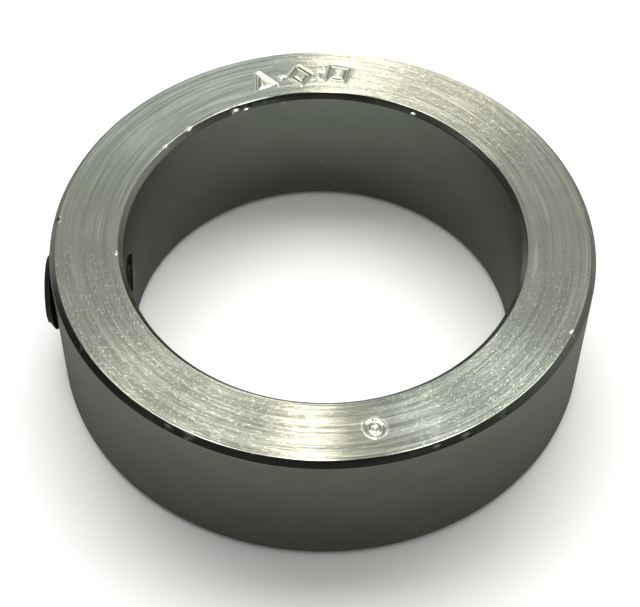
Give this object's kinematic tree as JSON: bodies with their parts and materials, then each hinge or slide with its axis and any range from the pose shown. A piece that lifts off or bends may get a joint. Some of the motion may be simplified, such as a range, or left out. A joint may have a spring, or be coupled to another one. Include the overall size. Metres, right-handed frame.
{
  "type": "shaft collar",
  "caption": "One-piece steel shaft collar, locked on its shaft by a socket set screw in a tapped radial hole.",
  "frame": {"origin": "centre of the bore at mid-width, where the set screw's axis crosses the bore's axis", "axes": "+Z along the bore, out of the stamped face; the set screw's socket end points along -X; +Y completes the right-hand frame"},
  "size_m": [0.084, 0.0826, 0.0238],
  "materials": {
    "zinc_plated_steel": "turned steel with a thin bright zinc coat, fine concentric turning marks on both faces",
    "black_oxide_steel": "black oxide on hardened alloy steel, slightly oily"
  },
  "bodies": {
    "collar": {"collar_ring": "zinc_plated_steel"},
    "screw": {"set_screw": "black_oxide_steel"}
  },
  "joints": [
    {"name": "screw_travel", "type": "slide", "parent": "collar", "child": "screw", "axis": [-1, 0, 0], "range_m": [-0.00195, 0.00977]}
  ]
}
